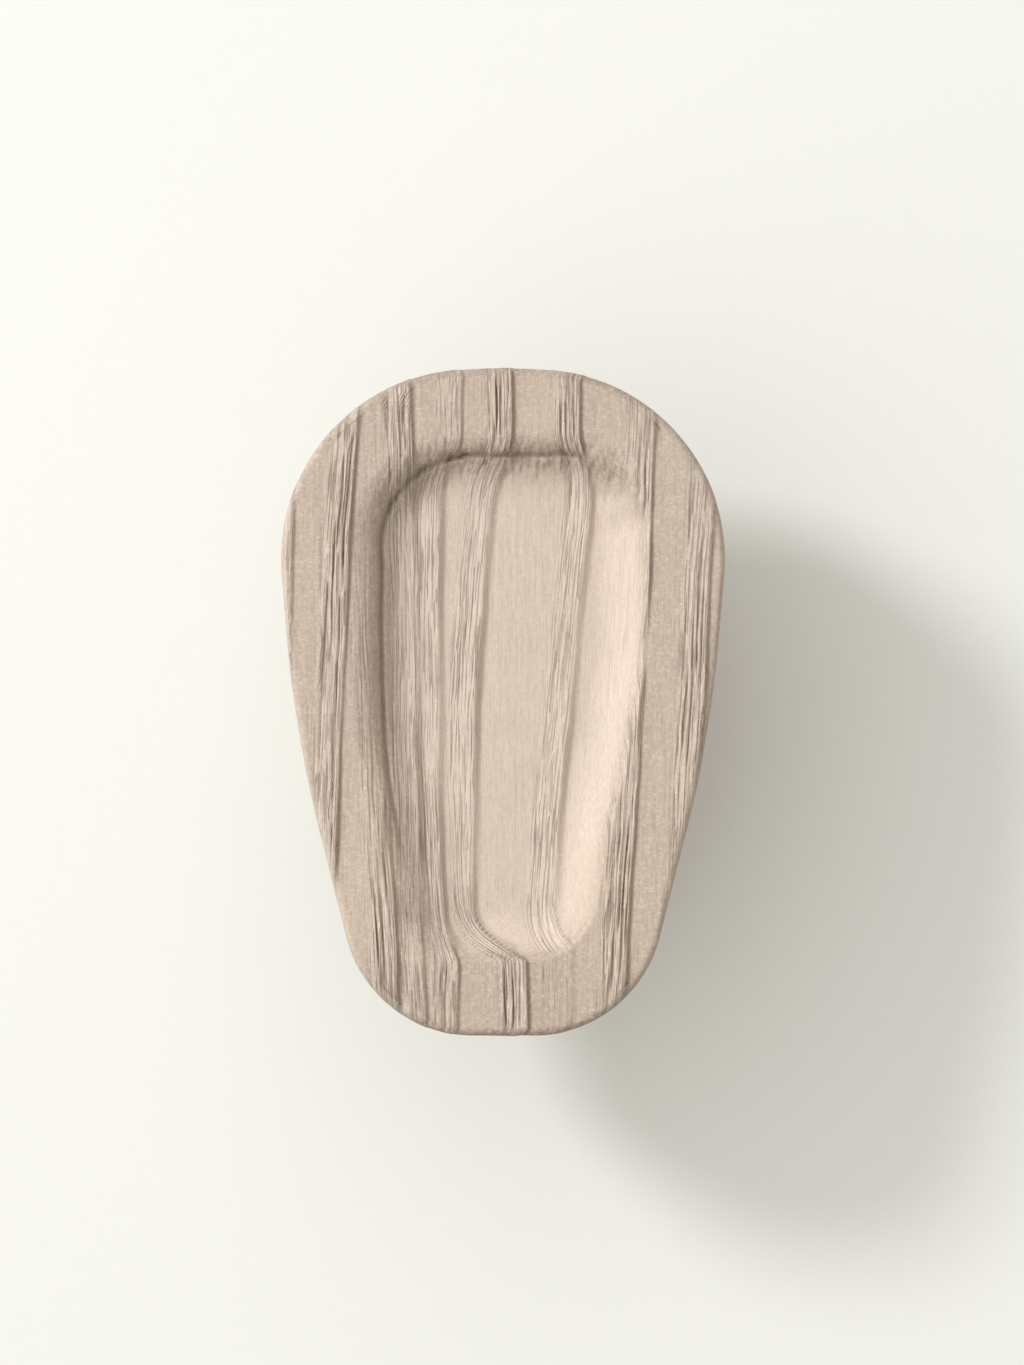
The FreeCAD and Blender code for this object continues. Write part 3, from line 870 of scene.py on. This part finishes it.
class Graph:
    """A material's node tree, with short ways to add a node and to join two."""

    def __init__(self, name):
        self.material = bpy.data.materials.new(name)
        self.material.use_nodes = True
        self.tree = self.material.node_tree
        self.shader = self.tree.nodes["Principled BSDF"]

    def add(self, kind, **settings):
        """A new node with the settings given."""
        node = self.tree.nodes.new(kind)
        for key, value in settings.items():
            setattr(node, key, value)
        return node

    def join(self, source, target):
        """Links an output to an input."""
        self.tree.links.new(source, target)

    def feed(self, socket, value):
        """Sets an input to a number or a colour, or links it to an output."""
        if isinstance(value, (int, float)):
            socket.default_value = value
        elif isinstance(value, tuple):
            socket.default_value = (*value, 1.0)
        else:
            self.join(value, socket)

    def place(self):
        """Where a point lies on the piece, in millimetres."""
        where = self.add("ShaderNodeTexCoord")
        scaled = self.add("ShaderNodeVectorMath", operation="SCALE")
        self.join(where.outputs["Object"], scaled.inputs[0])
        scaled.inputs["Scale"].default_value = 1 / MM
        return scaled.outputs[0]

    def noise(self, place, per_mm, detail, rough=0.55, twist=0.0):
        """Noise with the given number of cells per mm along X, Y and Z."""
        cells = self.add("ShaderNodeVectorMath", operation="MULTIPLY")
        self.join(place, cells.inputs[0])
        cells.inputs[1].default_value = per_mm
        node = self.add("ShaderNodeTexNoise")
        self.join(cells.outputs[0], node.inputs["Vector"])
        node.inputs["Scale"].default_value = 1.0
        node.inputs["Detail"].default_value = detail
        node.inputs["Roughness"].default_value = rough
        node.inputs["Distortion"].default_value = twist
        return node.outputs["Fac"]

    def apart(self, place):
        """The X, Y and Z of a place."""
        node = self.add("ShaderNodeSeparateXYZ")
        self.join(place, node.inputs[0])
        return node.outputs

    def follow(self, place, name):
        """The place with its X taken from a layer of the mesh and its Y dropped."""
        joined = self.add("ShaderNodeCombineXYZ")
        self.join(self.layer(name), joined.inputs["X"])
        self.join(self.apart(place)["Z"], joined.inputs["Z"])
        return joined.outputs[0]

    def layer(self, name, share=None):
        """One of the mesh's layers, or a share of it."""
        value = self.add("ShaderNodeAttribute", attribute_name=name).outputs["Fac"]
        return value if share is None else self.times(value, share)

    def scale(self, value, low, high, to_low=0.0, to_high=1.0):
        """to_low up to low, to_high from high on, and an S between."""
        node = self.add("ShaderNodeMapRange")
        node.interpolation_type = "SMOOTHSTEP"
        self.join(value, node.inputs["Value"])
        node.inputs["From Min"].default_value = low
        node.inputs["From Max"].default_value = high
        node.inputs["To Min"].default_value = to_low
        node.inputs["To Max"].default_value = to_high
        return node.outputs["Result"]

    def maths(self, operation, *values):
        """The result of one Math node on numbers or sockets."""
        node = self.add("ShaderNodeMath", operation=operation)
        for socket, value in zip(node.inputs, values):
            self.feed(socket, value)
        return node.outputs[0]

    def times(self, first, second):
        """The product of two numbers or sockets."""
        return self.maths("MULTIPLY", first, second)

    def tint(self, amount, first, second):
        """first where amount is 0, second where it is 1; either may be a colour or a socket."""
        node = self.add("ShaderNodeMix", data_type="RGBA")
        self.feed(node.inputs["Factor"], amount)
        colours = [socket for socket in node.inputs if socket.type == "RGBA"]
        for socket, value in zip(colours, (first, second)):
            self.feed(socket, value)
        return [socket for socket in node.outputs if socket.type == "RGBA"][0]

    def bump(self, height, distance):
        """Sets the shader's normals from a height whose 1 stands for distance in mm."""
        node = self.add("ShaderNodeBump")
        node.inputs["Distance"].default_value = distance * MM
        self.join(height, node.inputs["Height"])
        self.join(node.outputs["Normal"], self.shader.inputs["Normal"])

    def surface(self, colour, rough, specular=None):
        """Sets the shader's colour and roughness, and how strongly it reflects at its own level."""
        self.join(colour, self.shader.inputs["Base Color"])
        self.feed(self.shader.inputs["Roughness"], rough)
        if specular is not None:
            self.shader.inputs["Specular IOR Level"].default_value = specular


def along(axis, across, lengthwise):
    """Cells per mm for a texture that is stretched along one axis."""
    return tuple(lengthwise if k == axis else across for k in range(3))


def ash(name, axis, carved):
    """Bleached ash, brushed: fibres and open pores along one axis, ray flecks across, tinted patches.

    Carved wood takes its bands and carving from the layers of the head's mesh, and with them painted
    light and shade on the dish walls, in the crease and at each band's step; turned wood makes its own
    bands from noise. The tints go on in order, each over the ones before."""
    g = Graph(name)
    place = g.place()
    fibre = g.noise(place, along(axis, 3.6, 0.16), 5.0, 0.62, 0.15)
    fine = g.noise(place, along(axis, 13.0, 0.55), 3.0, 0.6)
    patch = g.noise(place, along(axis, 0.13, 0.07), 2.0, 0.5)
    streak = g.noise(place, along(axis, 0.9, 0.035), 3.0, 0.55, 0.2)
    dust = g.noise(place, along(axis, 7.5, 3.2), 1.0, 0.5)
    ray = g.noise(place, (2.2, 3.0, 6.5) if axis == 2 else (2.2, 6.5, 3.0), 1.0, 0.5)
    mottle = g.noise(place, along(axis, 3.4, 2.2), 4.0, 0.75)
    lined = g.follow(place, "lane") if carved else place
    short = g.noise(lined, along(axis, 6.8, 0.15), 2.0, 0.45)
    thread = g.noise(lined, along(axis, 11.0, 0.22), 1.0, 0.4)
    wisp = g.noise(lined, along(axis, 10.0, 0.5), 2.0, 0.5)

    if carved:
        band = g.layer("band")
        late = g.layer("late")
    else:
        rings = g.times(g.noise(place, along(axis, 0.28, 0.012), 1.0, 0.4), 9.0)
        saw = g.maths("FRACT", rings)
        band = g.scale(saw, 0.55, 0.80)
        late = g.scale(saw, 0.35, 0.0)
    held = g.maths("ADD", g.times(band, 0.9 if carved else 0.45), 0.06)
    lines = g.maths("MAXIMUM", g.scale(short, 0.58, 0.61), g.times(g.scale(thread, 0.60, 0.63), 0.8))
    open_pore = g.times(lines, held)
    if carved:
        open_pore = g.times(open_pore, g.scale(g.layer("fresh"), 0.0, 1.0, 1.0, 0.85))

    tints = [
        (g.scale(streak, 0.35, 0.70, 0.0, 0.28), STREAK),
        (g.times(late, 0.30), SUMMER_WOOD),
        (g.times(band, 0.40), SPRING_WOOD),
    ]
    if carved:
        tints += [
            (g.layer("fresh", 0.60), FRESH_CUT),
            # darker towards the head's bottom, in the colour of summer wood
            (g.scale(g.apart(place)["Z"], -23.0, -12.0, 0.26, 0.0), SUMMER_WOOD),
            # painted light on the dish walls that face the light
            (g.layer("painted_wall_light", 0.34), PAINTED_WALL_LIGHT),
            # painted shade on the left and top walls and under the bottom edge, partly darker end grain
            (g.layer("cut", 0.54), SHADE_AND_END_GRAIN),
        ]
    tints += [
        (g.scale(patch, 0.50, 0.70, 0.0, 0.30), YELLOWISH),
        (g.scale(patch, 0.46, 0.28, 0.0, 0.26), GREYISH),
        (g.scale(fine, 0.35, 0.62, 0.30, 0.0), FINE_DARK),
        (g.scale(mottle, 0.40, 0.64, 0.0, 0.36), MOTTLE),
        (g.scale(ray, 0.58, 0.70, 0.0, 0.40), RAY_FLECK),
        (g.scale(dust, 0.66, 0.78, 0.0, 0.55), DUST),
        (g.times(g.scale(wisp, 0.56, 0.64), g.times(band, 0.60)), WISP),
        (g.times(open_pore, 0.70), PORE_TEXTURE),
    ]
    if carved:
        tints += [
            # painted shade on each band's step
            (g.layer("edge", 0.22), STEP_SHADE),
            (g.layer("pore", 0.52), CARVED_PORE),
            # painted shade along the crease
            (g.layer("crease", 0.72), CREASE_SHADE),
        ]
    colour = g.tint(g.scale(fibre, 0.30, 0.70), DARK_FIBRE, LIGHT_FIBRE)
    for amount, shade in tints:
        colour = g.tint(amount, colour, shade)
    g.surface(colour, g.scale(fine, 0.3, 0.7, 0.74, 0.92), 0.25)

    relief = g.maths("ADD", g.times(fibre, 0.5), g.times(fine, 0.35))
    relief = g.maths("ADD", relief, g.times(mottle, 0.7))
    relief = g.maths("SUBTRACT", relief, g.times(open_pore, 1.5))
    g.bump(relief, 0.055)
    return g.material


def metal(name, clean, dull, rough, stained):
    """Plated or turned metal: fine marks round the screw's axis, slight stains."""
    g = Graph(name)
    place = g.place()
    marks = g.noise(place, (2.0, 16.0, 2.0), 3.0, 0.6)
    stain = g.noise(place, (0.55, 0.55, 0.55), 4.0, 0.6)
    speck = g.noise(place, (9.0, 9.0, 9.0), 2.0, 0.6)
    colour = g.tint(g.scale(stain, 0.35, 0.70, 0.0, stained), clean, dull)
    colour = g.tint(g.scale(speck, 0.62, 0.74, 0.0, 0.35), colour, dull)
    g.surface(colour, g.scale(marks, 0.3, 0.7, rough - 0.07, rough + 0.10))
    g.shader.inputs["Metallic"].default_value = 1.0
    g.bump(g.maths("ADD", marks, g.times(speck, 0.4)), 0.010)
    return g.material


def wall_paint():
    """Pale matt paint for the wall behind the knob, clear from its back, where the fixing is seen."""
    g = Graph("pale_wall")
    tooth = g.noise(g.place(), (0.9, 0.9, 0.9), 3.0, 0.5)
    g.surface(g.tint(tooth, *PAINT), 0.95, 0.1)
    clear = g.add("ShaderNodeBsdfTransparent")
    side = g.add("ShaderNodeNewGeometry")
    both = g.add("ShaderNodeMixShader")
    g.join(side.outputs["Backfacing"], both.inputs["Fac"])
    g.join(g.shader.outputs["BSDF"], both.inputs[1])
    g.join(clear.outputs["BSDF"], both.inputs[2])
    g.join(both.outputs["Shader"], g.tree.nodes["Material Output"].inputs["Surface"])
    return g.material


# ---------------------------------------------------------------- stage
def add_wall():
    """A flat round backdrop, open behind the neck's foot so that light from behind reaches its end."""
    turn = np.arange(WALL_POINTS) / WALL_POINTS * TURN
    points = [(r * math.cos(a), WALL_Y, r * math.sin(a)) for r in (WALL_HOLE, WALL_REACH) for a in turn]
    hole = list(range(WALL_POINTS))
    wall = make_object("backdrop", points, belt_faces(hole, [k + WALL_POINTS for k in hole]), 30)
    wall.data.materials.append(wall_paint())


def add_light(name, kind, towards, energy, colour):
    """A light that shines on the knob from the direction given."""
    data = bpy.data.lights.new(name, kind)
    data.energy = energy
    data.color = colour
    light = bpy.data.objects.new(name, data)
    light.rotation_euler = Vector(towards).to_track_quat("Z", "Y").to_euler()
    bpy.context.scene.collection.objects.link(light)
    return light


def add_lights():
    """A window-like key from the upper left, a very broad fill round it, pale light from all about.

    The key is a round lamp LAMP_AWAY metres off, as strong at the knob as a sun of its strength."""
    towards, strength, spread = (-0.633, -0.647, 0.426), 1.66, 0.22
    energy = strength * math.pi * LAMP_AWAY**2
    key = add_light("key", "AREA", towards, energy, (0.965, 0.995, 1.0))
    key.data.shape = "DISK"
    key.data.size = 2 * LAMP_AWAY * math.tan(spread / 2)
    key.location = Vector(towards).normalized() * LAMP_AWAY
    fill_light = add_light("fill", "SUN", (-0.72, -0.57, 0.39), 1.94, (1.0, 0.998, 0.98))
    fill_light.data.angle = 2.3
    world = bpy.data.worlds.new("studio")
    world.use_nodes = True
    sky = world.node_tree.nodes["Background"]
    sky.inputs["Color"].default_value = (1.0, 0.962, 0.865, 1.0)
    sky.inputs["Strength"].default_value = 0.44
    bpy.context.scene.world = world


def add_camera():
    """Looks straight along +Y; CAMERA_SEES is what its height takes in at the distance CAMERA_AWAY."""
    data = bpy.data.cameras.new("camera")
    data.type = "PERSP"
    data.sensor_fit = "VERTICAL"
    data.sensor_height = SENSOR
    data.lens = SENSOR * CAMERA_AWAY / CAMERA_SEES
    camera = bpy.data.objects.new("camera", data)
    camera.location = Vector((CAMERA_X, FACE_Y - CAMERA_AWAY, CAMERA_Z)) * MM
    camera.rotation_euler = (math.radians(90), 0, 0)
    bpy.context.scene.collection.objects.link(camera)
    bpy.context.scene.camera = camera


def finish_piece(piece, body, node, material):
    """Gives a piece its material and its body, and hides the CAD node it stands for."""
    piece.data.materials.append(material)
    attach(piece, body)
    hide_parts(node)


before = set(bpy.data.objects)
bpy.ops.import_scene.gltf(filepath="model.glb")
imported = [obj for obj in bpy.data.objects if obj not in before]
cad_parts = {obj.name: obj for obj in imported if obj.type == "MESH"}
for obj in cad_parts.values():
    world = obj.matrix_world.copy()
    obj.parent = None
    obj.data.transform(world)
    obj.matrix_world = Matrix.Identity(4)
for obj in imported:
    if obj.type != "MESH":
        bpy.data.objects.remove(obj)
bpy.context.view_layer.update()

bpy.context.scene.view_settings.view_transform = "Standard"
add_camera()
add_lights()
add_wall()

head_ash = ash("head_ash", 2, True)
neck_ash = ash("neck_ash", 1, False)
screw_zinc = metal("screw_zinc", *ZINC, 0.27, 0.4)
washer_zinc = metal("washer_zinc", *ZINC, 0.33, 0.6)
insert_brass = metal("insert_brass", *BRASS, 0.34, 0.6)
finish_piece(build_head(), "knob", "head", head_ash)
finish_piece(build_neck(), "knob", "neck", neck_ash)
finish_piece(build_screw(), "screw", "machine_screw", screw_zinc)
finish_piece(build_washer(), "washer", "washer", washer_zinc)
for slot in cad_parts["threaded_insert"].material_slots:
    slot.material = insert_brass
